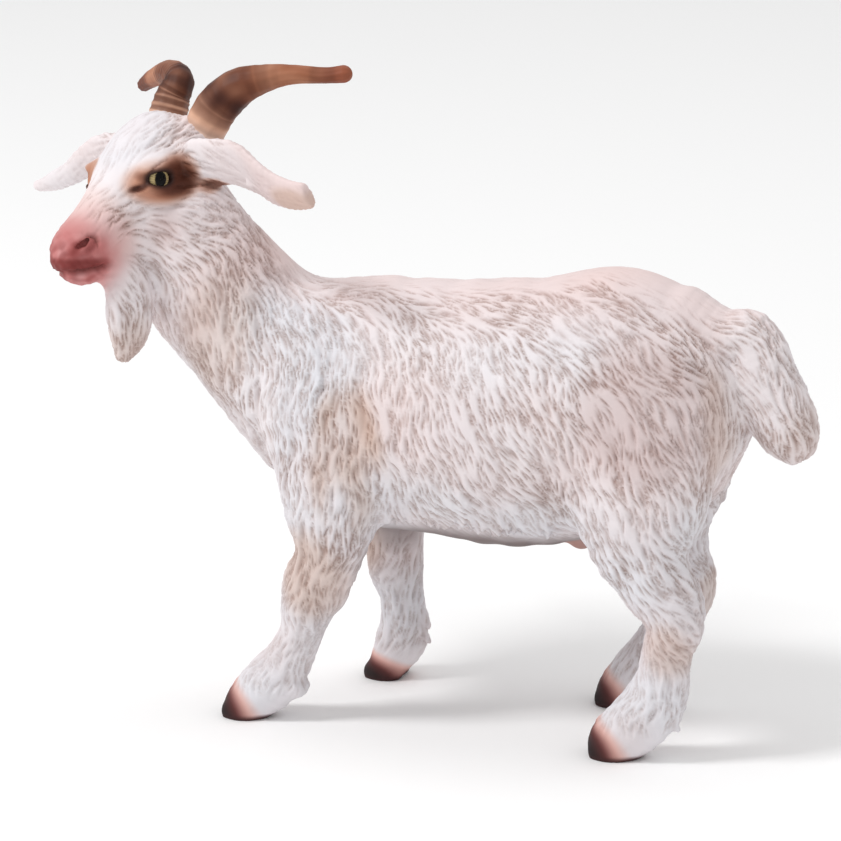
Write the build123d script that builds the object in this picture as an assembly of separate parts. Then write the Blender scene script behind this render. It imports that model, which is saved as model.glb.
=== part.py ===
from build123d import *
import math
import os

# Toy billy goat in a walking stance, moulded in PVC. The trunk is a cored shell in two halves. The head with
# its neck, the legs, horns, ears, beard and tail are moulded apart, each on a peg that is glued into a socket,
# and the eyes are balls pressed into the sockets of the head.
# Millimetres, +Z up, standing on Z = 0, nose towards -X, the goat's left side towards -Y.
# The model is laid out from the middle of the trunk and moved at export, so that the origin is the point on
# the ground under the middle of the bounding box.

# ---- driving dimensions ----
GLUE_GAP = 0.05                        # all round every peg
RING_POINTS = 12                       # points on each elliptical section
RINGS_PER_SPAN = 2                     # sections made from one listed section to the next
LEG_FACE_Y = 8.3                       # the legs' flat inner faces lie this far from the middle plane
BELLY_LINE = 25.0                      # below this height the legs are clear of the trunk
LEG_PEG_R, LEG_PEG_LENGTH = 2.2, 3.0
NECK_PEG_R, NECK_PEG_LENGTH = 4.5, 6.0
TAIL_PEG_R, TAIL_PEG_LENGTH = 1.6, 4.5
HORN_PEG_R, HORN_PEG_LENGTH = 1.1, 3.0
EAR_PEG_R, EAR_PEG_LENGTH = 0.8, 2.5
BEARD_PEG_R, BEARD_PEG_LENGTH = 0.8, 2.0
BOSS_R, PIN_R, PIN_LENGTH = 2.6, 1.2, 3.0
FAR = 200.0                            # longer than anything in the model

# ---- directions of the head, which is turned left, nose down and a little tipped to the right ----
HEAD_YAW, HEAD_PITCH, HEAD_ROLL = (math.radians(a) for a in (64.0, 27.0, 9.0))
BETWEEN_EYES = Vector(-36.0, -8.0, 67.9)
FORWARD = Vector(
    -math.cos(HEAD_YAW) * math.cos(HEAD_PITCH),
    -math.sin(HEAD_YAW) * math.cos(HEAD_PITCH),
    -math.sin(HEAD_PITCH),
)
LEVEL_LEFT = Vector(math.sin(HEAD_YAW), -math.cos(HEAD_YAW), 0)
LEVEL_CROWN = FORWARD.cross(LEVEL_LEFT)
LEFT = LEVEL_LEFT * math.cos(HEAD_ROLL) + LEVEL_CROWN * math.sin(HEAD_ROLL)
CROWN = LEVEL_CROWN * math.cos(HEAD_ROLL) - LEVEL_LEFT * math.sin(HEAD_ROLL)


def on_head(forward, left, crown):
    """A point given along the face, to the goat's left and towards the crown, from between the eyes."""
    return BETWEEN_EYES + FORWARD * forward + LEFT * left + CROWN * crown


# ---- trunk and its core: sections square to X as (x, middle height, half width, half height) ----
TRUNK = [
    (-20.5, 37.5, 5.0, 6.5),
    (-17.5, 38.8, 9.3, 12.6),
    (-12.0, 39.6, 11.8, 15.4),
    (-2.0, 39.8, 13.0, 16.2),
    (9.0, 39.6, 14.0, 17.0),
    (19.0, 41.0, 13.6, 17.2),
    (28.0, 43.0, 12.6, 16.2),
    (34.0, 44.0, 11.2, 14.2),
    (38.5, 45.4, 8.8, 10.6),
    (41.0, 46.4, 5.6, 7.0),
]
CORE = [
    (-12.0, 41.0, 2.5, 6.0),
    (-7.0, 41.0, 4.0, 11.0),
    (2.0, 40.5, 9.5, 13.0),
    (14.0, 41.5, 10.0, 13.5),
    (22.0, 43.5, 6.5, 12.5),
    (32.0, 46.0, 2.5, 7.0),
]
BOSSES = [(1.0, 46.0), (15.0, 36.0)]   # (x, height) of the posts that join the halves

# ---- neck: (centre, half width, half depth), from deep in the shoulders up to the skull ----
NECK = [
    (Vector(-8.0, 0.0, 36.0), 9.5, 11.0),
    (Vector(-17.5, -0.4, 44.0), 10.0, 12.2),
    (Vector(-23.5, -1.6, 51.0), 8.4, 11.0),
    (Vector(-28.2, -3.4, 57.5), 7.0, 9.2),
    (Vector(-31.3, -5.4, 64.5), 5.8, 6.8),
]
NECK_SEAM = Vector(-20.5, -1.0, 46.5)
NECK_AXIS = Vector(-0.58, -0.12, 0.80).normalized()

# ---- head: sections square to the face as (forward, crown, half width, half height) ----
HEAD = [
    (14.2, -3.8, 2.4, 2.6),
    (12.8, -4.0, 3.6, 4.2),
    (9.0, -3.8, 3.6, 4.6),
    (5.0, -3.2, 4.2, 5.0),
    (0.0, -2.0, 5.9, 5.8),
    (-5.0, -1.6, 6.2, 6.2),
    (-9.5, -2.2, 5.4, 5.0),
    (-12.0, -3.0, 3.6, 3.4),
]
EYE_R = 1.5
EYE_LEFT, EYE_CROWN = 5.5, 0.0         # eye's centre from the middle of the face

# ---- legs: sections parallel to the ground as (height, x, |y|, half length, half width) ----
THIGH_TOP = [(39.0, 31.2, 9.0, 9.0, 4.6), (46.0, 32.6, 8.4, 7.4, 3.4), (52.0, 34.0, 7.0, 3.0, 1.2)]
SHOULDER_TOP = [(27.0, -8.6, 10.0, 6.0, 4.4), (36.0, -9.5, 9.0, 7.0, 4.2), (47.0, -11.0, 7.8, 3.0, 1.2)]
FORELEG_LEFT = [
    (0.0, -20.2, 10.0, 3.1, 2.9),
    (2.4, -18.4, 10.0, 3.8, 3.1),
    (5.0, -16.3, 10.0, 4.1, 3.0),
    (8.5, -14.6, 10.0, 3.2, 2.8),
    (12.0, -12.8, 10.0, 2.9, 2.8),
    (15.5, -12.0, 10.0, 4.0, 3.4),
    (21.0, -9.7, 10.0, 4.7, 3.9),
] + SHOULDER_TOP
FORELEG_RIGHT = [
    (0.0, -9.2, 11.0, 2.6, 2.8),
    (2.0, -8.2, 11.0, 3.0, 3.0),
    (4.0, -6.9, 11.0, 3.2, 3.0),
    (7.5, -6.5, 10.8, 2.6, 2.7),
    (12.0, -6.9, 10.6, 2.7, 2.7),
    (16.0, -7.6, 10.4, 3.8, 3.3),
    (21.0, -7.8, 10.2, 4.6, 3.8),
] + SHOULDER_TOP
HINDLEG_LEFT = [
    (0.0, 28.2, 10.2, 3.5, 2.9),
    (2.4, 30.2, 10.2, 4.6, 3.2),
    (5.0, 32.4, 10.2, 4.6, 3.1),
    (9.5, 33.9, 10.0, 3.4, 2.8),
    (14.5, 34.6, 10.0, 3.4, 2.9),
    (19.0, 34.9, 9.8, 4.7, 3.3),
    (25.0, 31.4, 9.8, 6.4, 4.0),
    (31.0, 30.6, 9.6, 8.0, 4.6),
] + THIGH_TOP
HINDLEG_RIGHT = [
    (0.0, 22.6, 9.8, 3.2, 2.9),
    (2.4, 24.2, 9.8, 3.7, 3.1),
    (5.0, 26.2, 9.8, 3.7, 3.0),
    (9.5, 28.8, 9.8, 3.3, 2.8),
    (14.5, 31.4, 9.8, 3.4, 2.9),
    (19.0, 31.6, 9.8, 4.8, 3.3),
    (25.0, 29.6, 9.8, 6.2, 4.0),
    (31.0, 29.4, 9.6, 7.8, 4.6),
] + THIGH_TOP
LEGS = {
    "foreleg_left": (FORELEG_LEFT, -1, (-9.5, 36.0)),
    "foreleg_right": (FORELEG_RIGHT, 1, (-9.5, 36.0)),
    "hindleg_left": (HINDLEG_LEFT, -1, (31.0, 39.0)),
    "hindleg_right": (HINDLEG_RIGHT, 1, (31.0, 39.0)),
}                                      # name: (sections, side, (x, height) of the peg)

# ---- horns, ears, beard and tail: (centre, half width, half thickness) along each ----
HORN_LEFT = [
    (Vector(-30.2, -1.2, 71.5), 2.5, 2.3),
    (Vector(-28.9, -1.2, 74.3), 2.5, 2.3),
    (Vector(-26.9, -1.2, 77.2), 2.4, 2.2),
    (Vector(-23.8, -1.0, 79.5), 2.1, 1.9),
    (Vector(-20.3, -0.5, 80.6), 1.6, 1.5),
    (Vector(-15.5, 0.2, 80.7), 1.1, 1.0),
    (Vector(-9.8, 1.0, 81.2), 0.9, 0.8),
    (Vector(-7.8, 1.2, 81.5), 0.4, 0.4),
]
HORN_RIGHT = [
    (Vector(-34.6, 1.2, 71.5), 2.3, 2.3),
    (Vector(-34.7, 2.2, 74.6), 2.3, 2.3),
    (Vector(-34.6, 4.0, 77.4), 2.0, 2.1),
    (Vector(-35.8, 7.2, 79.0), 1.7, 1.8),
    (Vector(-38.2, 10.8, 78.4), 1.3, 1.4),
    (Vector(-41.2, 14.2, 76.6), 1.0, 1.1),
    (Vector(-44.2, 17.4, 74.4), 0.8, 0.9),
    (Vector(-45.2, 18.3, 73.6), 0.4, 0.4),
]
EAR_LEFT = [
    (Vector(-29.5, -5.0, 69.6), 2.2, 1.4),
    (Vector(-26.7, -7.0, 70.3), 2.6, 1.2),
    (Vector(-23.2, -9.2, 71.0), 3.2, 0.9),
    (Vector(-20.1, -11.2, 70.9), 3.4, 0.8),
    (Vector(-16.3, -13.6, 69.9), 3.0, 0.8),
    (Vector(-12.5, -15.6, 69.0), 2.3, 0.7),
    (Vector(-8.6, -17.3, 68.7), 0.9, 0.4),
]
EAR_RIGHT = [
    (Vector(-38.2, -1.6, 69.6), 2.0, 1.4),
    (Vector(-40.7, -0.6, 69.7), 2.4, 1.2),
    (Vector(-44.4, 1.2, 68.8), 2.8, 0.9),
    (Vector(-48.7, 3.6, 66.8), 2.5, 0.8),
    (Vector(-52.8, 6.0, 64.8), 1.8, 0.7),
    (Vector(-56.6, 8.2, 63.0), 0.8, 0.4),
]
BEARD = [
    (Vector(-35.4, -12.2, 58.0), 2.0, 2.8),
    (Vector(-34.2, -13.0, 54.4), 2.0, 3.1),
    (Vector(-33.9, -13.4, 51.2), 1.9, 3.1),
    (Vector(-34.2, -13.7, 48.2), 1.4, 2.1),
    (Vector(-34.6, -14.0, 45.6), 0.6, 0.6),
]
TAIL = [
    (Vector(37.5, 0.0, 53.6), 2.6, 2.6),
    (Vector(40.5, 0.0, 53.8), 3.0, 3.0),
    (Vector(43.4, 0.0, 51.9), 3.4, 3.8),
    (Vector(45.8, -0.4, 48.0), 3.7, 4.2),
    (Vector(47.2, -0.7, 43.6), 3.5, 4.0),
    (Vector(48.3, -1.0, 39.8), 2.8, 3.0),
    (Vector(48.6, -1.1, 37.5), 1.2, 1.3),
]


# ---- building blocks ----
def ring(centre, normal, across, half_width, half_depth):
    """An elliptical section: half_width along across, half_depth square to it, in the plane of normal."""
    normal = normal.normalized()
    wide = (across - normal * across.dot(normal)).normalized()
    deep = normal.cross(wide)
    turns = [2 * math.pi * i / RING_POINTS for i in range(RING_POINTS)]
    points = [centre + wide * (half_width * math.cos(t)) + deep * (half_depth * math.sin(t)) for t in turns]
    return make_face(Spline(*points, periodic=True))


def between(a, b, c, d, t):
    """The value a share t of the way from b to c, on the smooth curve that also passes a and d."""
    return (b * 2 + (c - a) * t + (a * 2 - b * 5 + c * 4 - d) * t**2 + (b * 3 - a - c * 3 + d) * t**3) * 0.5


def filled_in(rows):
    """The listed sections with smoothly placed ones between them."""
    rings = []
    for i in range(len(rows) - 1):
        four = [rows[min(max(i + step, 0), len(rows) - 1)] for step in (-1, 0, 1, 2)]
        for k in range(RINGS_PER_SPAN):
            rings.append([between(*values, k / RINGS_PER_SPAN) for values in zip(*four)])
    return rings + [list(rows[-1])]


def along_x(rows):
    """A solid from sections square to X."""
    return loft(
        [ring(Vector(x, 0, z), Vector(1, 0, 0), Vector(0, 1, 0), w, h) for x, z, w, h in filled_in(rows)],
        ruled=True,
    )


def along_z(rows, side):
    """A leg from sections parallel to the ground. side is -1 on the goat's left and 1 on its right."""
    return loft(
        [ring(Vector(x, side * y, z), Vector(0, 0, 1), Vector(1, 0, 0), a, b) for z, x, y, a, b in filled_in(rows)],
        ruled=True,
    )


def along_face(rows):
    """The head from sections square to the face."""
    return loft(
        [ring(on_head(f, 0, c), FORWARD, LEFT, w, h) for f, c, w, h in filled_in(rows)],
        ruled=True,
    )


def along_points(rows, across):
    """A solid that follows its own centres. across is the direction of the half widths."""
    rows = filled_in(rows)
    rings = []
    for i, (centre, wide, deep) in enumerate(rows):
        run = rows[min(i + 1, len(rows) - 1)][0] - rows[max(i - 1, 0)][0]
        rings.append(ring(centre, run, across, wide, deep))
    return loft(rings, ruled=True)


def peg(start, direction, radius, length, root=1.5):
    """A round peg that stands length proud of start, and reaches root back into its own piece."""
    return Plane(origin=start - direction * root, z_dir=direction) * Cylinder(
        radius, length + root, align=(Align.CENTER, Align.CENTER, Align.MIN)
    )


def socket(start, direction, radius, length):
    """The hole that a peg is glued into."""
    return peg(start, direction, radius + GLUE_GAP, length + 4 * GLUE_GAP)


def half_space(point, normal):
    """A block that fills one side of the plane through point, on the side that normal points to."""
    return Plane(origin=point, z_dir=normal) * Box(FAR, FAR, FAR, align=(Align.CENTER, Align.CENTER, Align.MIN))


# ---- legs ----
def leg_form(rows, side):
    """A leg, whole below the belly line and cut flat above it, where it meets the trunk's core."""
    core = Pos(0, 0, BELLY_LINE) * Box(FAR, 2 * LEG_FACE_Y, FAR, align=(Align.CENTER, Align.CENTER, Align.MIN))
    return along_z(rows, side) - core


def leg_joint(make, side, place):
    """make is peg or socket: it stands on the leg's flat and points to the middle plane."""
    x, height = place
    return make(Vector(x, side * LEG_FACE_Y, height), Vector(0, -side, 0), LEG_PEG_R, LEG_PEG_LENGTH)


# ---- joints of the other pieces: (start, direction, radius, length) ----
def into(rows, radius, length, depth=1):
    """A joint at the piece's section number depth, pointing back along its run."""
    start, next_point = rows[depth][0], rows[depth + 1][0]
    return start, (start - next_point).normalized(), radius, length


NECK_JOINT = (NECK_SEAM, NECK_AXIS * -1, NECK_PEG_R, NECK_PEG_LENGTH)
TAIL_JOINT = (Vector(41.0, 0, 53.0), Vector(-1, 0, -0.15).normalized(), TAIL_PEG_R, TAIL_PEG_LENGTH)
ON_HEAD = {
    "horn_left": (HORN_LEFT, Vector(0, 1, 0), into(HORN_LEFT, HORN_PEG_R, HORN_PEG_LENGTH)),
    "horn_right": (HORN_RIGHT, Vector(1, 0, 0), into(HORN_RIGHT, HORN_PEG_R, HORN_PEG_LENGTH)),
    "ear_left": (EAR_LEFT, CROWN, into(EAR_LEFT, EAR_PEG_R, EAR_PEG_LENGTH)),
    "ear_right": (EAR_RIGHT, CROWN, into(EAR_RIGHT, EAR_PEG_R, EAR_PEG_LENGTH)),
    "beard": (BEARD, LEFT, into(BEARD, BEARD_PEG_R, BEARD_PEG_LENGTH)),
}                                      # name: (sections, direction of the half widths, joint)


def build():
    """Every piece by its name, laid out from the middle of the trunk."""
    parts = {}
    outside = along_x(TRUNK) + along_points(NECK, Vector(0, 1, 0))
    above_seam = half_space(NECK_SEAM, NECK_AXIS)

    # trunk: legs are let into it, then it is cored and split
    trunk = outside - above_seam
    for name, (rows, side, place) in LEGS.items():
        form = leg_form(rows, side)
        parts[name] = form + leg_joint(peg, side, place)
        trunk = trunk - form - leg_joint(socket, side, place)
    tail_form = along_points(TAIL, Vector(0, 1, 0)) - outside
    parts["tail"] = tail_form + peg(*TAIL_JOINT)
    trunk = trunk - along_x(CORE) - socket(*NECK_JOINT) - socket(*TAIL_JOINT)
    for side, name in ((-1, "trunk_left_half"), (1, "trunk_right_half")):
        half = trunk & half_space(Vector(0, 0, 0), Vector(0, side, 0))
        for x, height in BOSSES:
            wall = Vector(x, side * 11.0, height)
            half = half + peg(wall, Vector(0, -side, 0), BOSS_R, 11.0, root=0)
            middle = Vector(x, 0, height)
            if side < 0:
                half = half + peg(middle, Vector(0, 1, 0), PIN_R, PIN_LENGTH)
            else:
                half = half - socket(middle, Vector(0, 1, 0), PIN_R, PIN_LENGTH)
        parts[name] = half

    # head with its neck, and what is let into it
    skull = along_face(HEAD)
    head = (outside & above_seam) + skull + peg(*NECK_JOINT)
    for side, name in ((1, "eye_left"), (-1, "eye_right")):
        parts[name] = Plane(origin=on_head(0, side * EYE_LEFT, EYE_CROWN), z_dir=LEFT * side) * Sphere(EYE_R)
        head = head - parts[name]
    for name, (rows, across, joint) in ON_HEAD.items():
        parts[name] = (along_points(rows, across) - head) + peg(*joint)
        head = head - socket(*joint)
    parts["head_with_neck"] = head
    return parts


def one_solid(shape):
    """The largest solid of a cut, which leaves off any flake that the cut made."""
    return max(shape.solids(), key=lambda solid: solid.volume)


def main():
    os.makedirs("parts", exist_ok=True)
    parts = {name: one_solid(shape) for name, shape in build().items()}
    box = Compound(list(parts.values())).bounding_box()
    to_origin = Pos(-(box.min.X + box.max.X) / 2, -(box.min.Y + box.max.Y) / 2, 0)
    for name, solid in parts.items():
        export_step(to_origin * solid, f"parts/{name}.step")
    print("origin moved to", (box.min.X + box.max.X) / 2, (box.min.Y + box.max.Y) / 2)


if __name__ == "__main__":
    main()
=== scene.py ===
import math
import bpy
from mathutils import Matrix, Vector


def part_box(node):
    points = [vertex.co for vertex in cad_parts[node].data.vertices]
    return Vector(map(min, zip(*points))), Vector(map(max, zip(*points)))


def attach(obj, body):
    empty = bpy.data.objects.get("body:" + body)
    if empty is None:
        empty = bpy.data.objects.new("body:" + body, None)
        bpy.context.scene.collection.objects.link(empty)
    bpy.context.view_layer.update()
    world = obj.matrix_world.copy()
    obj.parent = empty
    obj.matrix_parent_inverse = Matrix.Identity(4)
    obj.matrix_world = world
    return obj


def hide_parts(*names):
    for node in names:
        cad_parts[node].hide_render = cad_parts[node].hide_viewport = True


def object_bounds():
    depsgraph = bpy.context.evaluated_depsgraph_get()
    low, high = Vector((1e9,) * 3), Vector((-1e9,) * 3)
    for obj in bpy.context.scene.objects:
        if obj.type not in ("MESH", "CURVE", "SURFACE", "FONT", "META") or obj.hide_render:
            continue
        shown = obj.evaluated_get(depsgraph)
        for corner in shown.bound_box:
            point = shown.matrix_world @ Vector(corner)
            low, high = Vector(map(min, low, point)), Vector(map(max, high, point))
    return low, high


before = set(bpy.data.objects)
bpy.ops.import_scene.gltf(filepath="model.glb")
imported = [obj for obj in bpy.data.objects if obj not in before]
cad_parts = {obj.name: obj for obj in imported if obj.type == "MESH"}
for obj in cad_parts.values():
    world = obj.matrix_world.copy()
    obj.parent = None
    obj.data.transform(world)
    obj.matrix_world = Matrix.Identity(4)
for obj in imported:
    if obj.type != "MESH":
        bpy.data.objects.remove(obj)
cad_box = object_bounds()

from concurrent.futures import ThreadPoolExecutor

import bpy
import numpy as np
import openvdb
from mathutils import Vector
from mathutils.kdtree import KDTree

# A moulded toy billy goat. The coat is sculpted as one distance field in millimetres, meshed once,
# engraved with hair, and then parted along the CAD pieces' seams, so that neighbours meet without a step.

MM = 0.001
VOXEL = 0.2                            # mesh spacing, mm
BLOCK = 8                              # voxels along a block of the field
BAND = 1.2                             # the field is kept this far from the surface, mm
MARGIN = 3                             # the field reaches this far past the CAD box, mm
SEED = 20
WORKERS = 4

# ---- anchors, from the frame ----


def box_mm(node):
    """Lowest and highest corner of a CAD node, in millimetres."""
    low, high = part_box(node)
    return np.array(low) / MM, np.array(high) / MM


def middle(node):
    low, high = box_mm(node)
    return (low + high) / 2


def unit(v):
    v = np.asarray(v, float)
    return v / np.linalg.norm(v)


EYE_LEFT = middle("eye_left")
EYE_RIGHT = middle("eye_right")
HEAD_ORIGIN = (EYE_LEFT + EYE_RIGHT) / 2
HEAD_LEFT = unit(EYE_LEFT - EYE_RIGHT)
NOSE_DROP = math.radians(27.3)         # how far the face points below level
LEVEL_FORWARD = unit(np.cross(HEAD_LEFT, (0, 0, 1)))
LEVEL_CROWN = np.cross(LEVEL_FORWARD, HEAD_LEFT)
HEAD_FORWARD = LEVEL_FORWARD * math.cos(NOSE_DROP) - LEVEL_CROWN * math.sin(NOSE_DROP)
HEAD_CROWN = np.cross(HEAD_FORWARD, HEAD_LEFT)
HEAD_AXES = np.array([HEAD_FORWARD, HEAD_LEFT, HEAD_CROWN])

# The line of the eyes and the lips, which rises towards the front of the face.
SLANT_AXES = np.array([
    HEAD_FORWARD * 0.86 + HEAD_CROWN * 0.51,
    HEAD_LEFT,
    HEAD_CROWN * 0.86 - HEAD_FORWARD * 0.51,
])

# The body's tables are measured from a point on the ground, this far behind the trunk's front end.
HOME_BEHIND_FRONT = 29.71
TRUNK_LOW = np.minimum(box_mm("trunk_left_half")[0], box_mm("trunk_right_half")[0])
SPLIT_Y = box_mm("trunk_right_half")[0][1]
HOME = np.array([TRUNK_LOW[0] + HOME_BEHIND_FRONT, SPLIT_Y, 0.0])


def home(x, y, z):
    return HOME + np.array([x, y, z], float)


def on_head(forward, left, crown):
    return HEAD_ORIGIN + HEAD_FORWARD * forward + HEAD_LEFT * left + HEAD_CROWN * crown


# ---- distance field ----


def ellipse_distance(u, v, w, a, b, c):
    """Close to the distance from an ellipsoid with half axes a, b and c."""
    k0 = np.sqrt((u / a) ** 2 + (v / b) ** 2 + (w / c) ** 2)
    k1 = np.sqrt((u / a**2) ** 2 + (v / b**2) ** 2 + (w / c**2) ** 2)
    return k0 * (k0 - 1) / np.maximum(k1, 1e-6)


class Blob:
    """An ellipsoid. axes are the rows of its directions."""

    def __init__(self, centre, radii, axes=np.eye(3)):
        self.centre = np.asarray(centre, np.float32)
        self.radii = radii
        self.axes = np.asarray(axes, np.float32)
        self.reach = max(radii)

    def far(self, centres):
        return np.linalg.norm(centres - self.centre, axis=1) - self.reach

    def distance(self, points):
        u, v, w = np.moveaxis((points - self.centre) @ self.axes.T, -1, 0)
        return ellipse_distance(u, v, w, *self.radii)


class Link:
    """One stretch of a limb: an elliptical section that runs from start to end."""

    def __init__(self, start, end, wide, deep, side):
        self.start = np.asarray(start, np.float32)
        run = np.asarray(end, float) - start
        self.length = float(np.linalg.norm(run))
        along = run / self.length
        across = unit(side - along * np.dot(side, along))
        self.axes = np.array([across, np.cross(along, across), along], np.float32)
        self.wide = wide
        self.deep = deep
        self.reach = max(*wide, *deep)

    def far(self, centres):
        r = (centres - self.start) @ self.axes[2]
        t = np.clip(r, 0, self.length)
        near = centres - self.start - t[:, None] * self.axes[2]
        return np.linalg.norm(near, axis=1) - self.reach

    def distance(self, points):
        u, v, w = np.moveaxis((points - self.start) @ self.axes.T, -1, 0)
        t = np.clip(w / self.length, 0, 1)
        w = w - t * self.length
        a = self.wide[0] + (self.wide[1] - self.wide[0]) * t
        b = self.deep[0] + (self.deep[1] - self.deep[0]) * t
        return ellipse_distance(u, v, w, a, b, np.minimum(a, b) * 0.6)


def between(table, i, t):
    """The row a share t of the way from row i to the next, on the smooth curve through all the rows."""
    last = len(table) - 1
    a, b, c, d = [table[min(max(i + k, 0), last)] for k in (-1, 0, 1, 2)]
    return 0.5 * (2 * b + (c - a) * t + (2 * a - 5 * b + 4 * c - d) * t**2 + (3 * b - a - 3 * c + d) * t**3)


def along_rows(table, count):
    """count rows, evenly spread along the smooth curve through a table's rows."""
    last = len(table) - 1
    rows = []
    for s in np.linspace(0, last, count):
        i = min(int(s), last - 1)
        rows.append(between(table, i, s - i))
    return np.array(rows)


def section_table(rows):
    """Rows of (point, half width, half depth) as one array of five columns."""
    return np.array([[*point, wide, deep] for point, wide, deep in rows], float)


def limb(rows, side, steps=4):
    """Links through rows of (point, half width along side, half depth), smoothly filled in."""
    table = section_table(rows)
    path = [between(table, i, k / steps) for i in range(len(table) - 1) for k in range(steps)]
    path.append(table[-1])
    side = np.asarray(side, float)
    return [Link(p[:3], q[:3], (p[3], q[3]), (p[4], q[4]), side) for p, q in zip(path, path[1:])]


def smooth_least(a, b, k):
    """The smaller of a and b, with the corner between them rounded over k."""
    h = np.maximum(k - np.abs(a - b), 0) / k
    return np.minimum(a, b) - h * h * k * 0.25


def nearest(shapes, points, centres, size, k, margin=4.0):
    """The smooth union of shapes at points (blocks, n, 3), read only where a block is near a shape."""
    out = np.full(points.shape[:2], margin, np.float32)
    for shape in shapes:
        near = np.nonzero(shape.far(centres) < size + margin)[0]
        if len(near):
            out[near] = smooth_least(out[near], shape.distance(points[near]).astype(np.float32), k)
    return out


class Sculpture:
    """Named parts, joined one after another, each with its own rounding where it meets the rest."""

    def __init__(self):
        self.parts = []
        self.cuts = []

    def add(self, name, shapes, join, inner=0.3):
        self.parts.append((name, shapes, join, inner))

    def cut(self, shapes, join):
        self.cuts.append((shapes, join))

    def value(self, points, centres, size):
        total = None
        for _, shapes, join, inner in self.parts:
            d = nearest(shapes, points, centres, size, inner)
            total = d if total is None else smooth_least(total, d, join)
        for shapes, join in self.cuts:
            d = nearest(shapes, points, centres, size, 0.1)
            total = -smooth_least(-total, d, join)
        return total

    def part_distances(self, points):
        """Each part's own distance at loose points, by name."""
        cloud = points[:, None, :]
        return {
            name: nearest(shapes, cloud, points, 0, inner)[:, 0]
            for name, shapes, _, inner in self.parts
        }

    def mesh(self, low, high):
        """Points and quads of the surface, from a field that is worked out only near it."""
        step = VOXEL * BLOCK
        reach = step * 0.87            # from a block's middle to its corner
        first = np.floor(np.array(low) / step).astype(int)
        last = np.ceil(np.array(high) / step).astype(int)
        index = np.stack(np.meshgrid(*[np.arange(a, b) for a, b in zip(first, last)], indexing="ij"), -1)
        index = index.reshape(-1, 3)
        half = (BLOCK - 1) / 2 * VOXEL
        centres = (index * step + half).astype(np.float32)
        rough = self.value(centres[:, None, :], centres, 0)[:, 0]
        kept = np.abs(rough) < step * 0.9 + BAND * 0.5
        index, centres = index[kept], centres[kept]
        local = np.stack(np.meshgrid(*[np.arange(BLOCK)] * 3, indexing="ij"), -1).reshape(-1, 3) * VOXEL
        points = (index[:, None, :] * step + local[None]).astype(np.float32)
        shares = np.array_split(np.arange(len(points)), 4 * WORKERS)
        with ThreadPoolExecutor(WORKERS) as pool:
            found = pool.map(lambda i: self.value(points[i], centres[i], reach), shares)
            values = np.concatenate(list(found))
        grid = openvdb.FloatGrid(BAND)
        grid.gridClass = openvdb.GridClass.LEVEL_SET
        for ijk, block in zip(index * BLOCK, np.clip(values, -BAND, BAND)):
            grid.copyFromArray(block.reshape(BLOCK, BLOCK, BLOCK), ijk=tuple(int(i) for i in ijk))
        grid.signedFloodFill()
        corners, quads = grid.convertToQuads(0.0)
        return corners * VOXEL, quads[:, ::-1]


# ---- the goat's forms: rows of (point, half width, half depth) ----

SIDEWAYS = (0, 1, 0)

TRUNK = [
    (home(-11.6, 0, 39.4), 9.6, 13.0),
    (home(-8.8, 0, 39.7), 11.4, 14.9),
    (home(-5.5, 0, 39.6), 12.6, 15.7),
    (home(3.0, 0, 39.7), 13.3, 15.9),
    (home(12.0, 0, 39.6), 14.0, 16.6),
    (home(20.0, 0, 41.3), 13.6, 16.2),
    (home(27.0, 0, 42.8), 12.6, 16.4),
    (home(32.0, 0, 44.2), 11.4, 14.7),
    (home(35.4, 0, 45.2), 9.2, 10.9),
    (home(37.6, 0, 46.2), 6.6, 7.4),
]
SHEATH = Blob(home(20.8, 0, 26.0), (2.3, 2.4, 3.0))
NECK = [
    (home(-8.8, 0, 37.7), 10.0, 13.1),
    (home(-16.9, -0.2, 43.4), 9.6, 11.3),
    (home(-21.6, -1.0, 47.6), 8.6, 9.7),
    (home(-25.2, -2.2, 51.7), 7.7, 9.5),
    (home(-28.5, -4.2, 57.0), 6.9, 9.0),
    (home(-31.0, -5.6, 63.6), 5.8, 7.6),
]


def leg(side, rows):
    """rows are (x, distance from the middle plane, z, half width, half depth)."""
    return [(home(x, side * y, z), wide, deep) for x, y, z, wide, deep in rows]


FORELEG_LEFT = leg(-1, [
    (-20.6, 10.0, 0.6, 2.9, 2.7),
    (-19.2, 10.0, 2.4, 3.0, 3.0),
    (-16.4, 10.0, 5.0, 3.0, 3.4),
    (-13.9, 10.0, 9.0, 2.7, 2.7),
    (-12.7, 10.0, 12.0, 2.7, 2.4),
    (-12.0, 10.0, 15.2, 3.2, 3.3),
    (-11.0, 10.0, 17.8, 3.5, 4.1),
    (-9.2, 10.0, 22.0, 3.9, 4.3),
    (-8.8, 10.0, 27.0, 4.3, 5.7),
    (-9.2, 9.2, 34.0, 4.6, 6.9),
    (-11.0, 8.0, 42.0, 4.0, 6.0),
    (-12.5, 6.5, 49.0, 2.4, 3.0),
])
FORELEG_RIGHT = leg(1, [
    (-9.0, 11.0, 0.6, 2.7, 2.1),
    (-8.2, 11.0, 2.4, 2.9, 2.5),
    (-6.9, 11.0, 4.6, 3.0, 3.1),
    (-6.5, 10.9, 7.0, 2.7, 2.8),
    (-6.8, 10.7, 11.0, 2.6, 2.5),
    (-7.4, 10.5, 14.5, 3.1, 3.3),
    (-7.4, 10.3, 17.0, 3.4, 3.4),
    (-7.2, 10.1, 21.0, 3.8, 3.4),
    (-7.8, 10.0, 27.0, 4.2, 5.0),
    (-9.0, 9.2, 34.0, 4.4, 6.6),
    (-11.0, 8.0, 42.0, 4.0, 6.0),
    (-12.5, 6.5, 49.0, 2.4, 3.0),
])
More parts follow.
